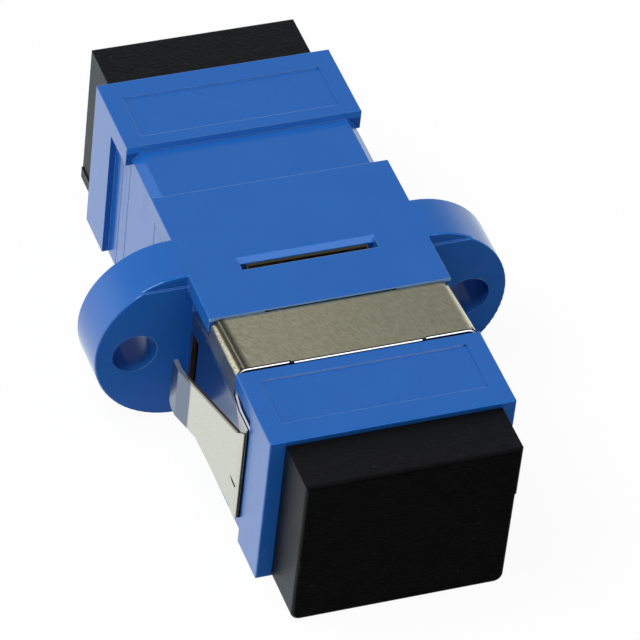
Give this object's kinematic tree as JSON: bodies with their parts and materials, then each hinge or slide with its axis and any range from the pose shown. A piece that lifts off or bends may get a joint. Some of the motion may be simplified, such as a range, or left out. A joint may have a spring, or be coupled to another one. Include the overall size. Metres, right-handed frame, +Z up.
{
  "type": "sc fibre adapter",
  "caption": "Flanged fibre-optic adapter with a folded spring clip, a plug socket in either end, ceramic alignment sleeve and pull-off dust caps.",
  "frame": {"origin": "centre of the flange's front face, between the two screw holes, on the optical axis", "axes": "+Y along the optical axis away from the spring clip, +X through the right-hand screw ear, +Z up towards the clip's band"},
  "size_m": [0.0224, 0.0345, 0.0096],
  "materials": {
    "housing_blue": "satin moulded",
    "clip_steel": "fine rolled grain",
    "holder_plastic": "satin moulded",
    "sleeve_ceramic": "polished",
    "cap_rubber": "matt moulded"
  },
  "bodies": {
    "adapter": {"housing": "housing_blue", "spring_clip": "clip_steel", "front_latch_holder": "holder_plastic", "rear_latch_holder": "holder_plastic", "alignment_sleeve": "sleeve_ceramic"},
    "front_cap": {"front_dust_cap": "cap_rubber"},
    "rear_cap": {"rear_dust_cap": "cap_rubber"}
  },
  "joints": [
    {"name": "front_cap_pull", "type": "slide", "parent": "adapter", "child": "front_cap", "axis": [0, -1, 0], "range_m": [0, 0.02]},
    {"name": "rear_cap_pull", "type": "slide", "parent": "adapter", "child": "rear_cap", "axis": [0, 1, 0], "range_m": [0, 0.02]}
  ]
}
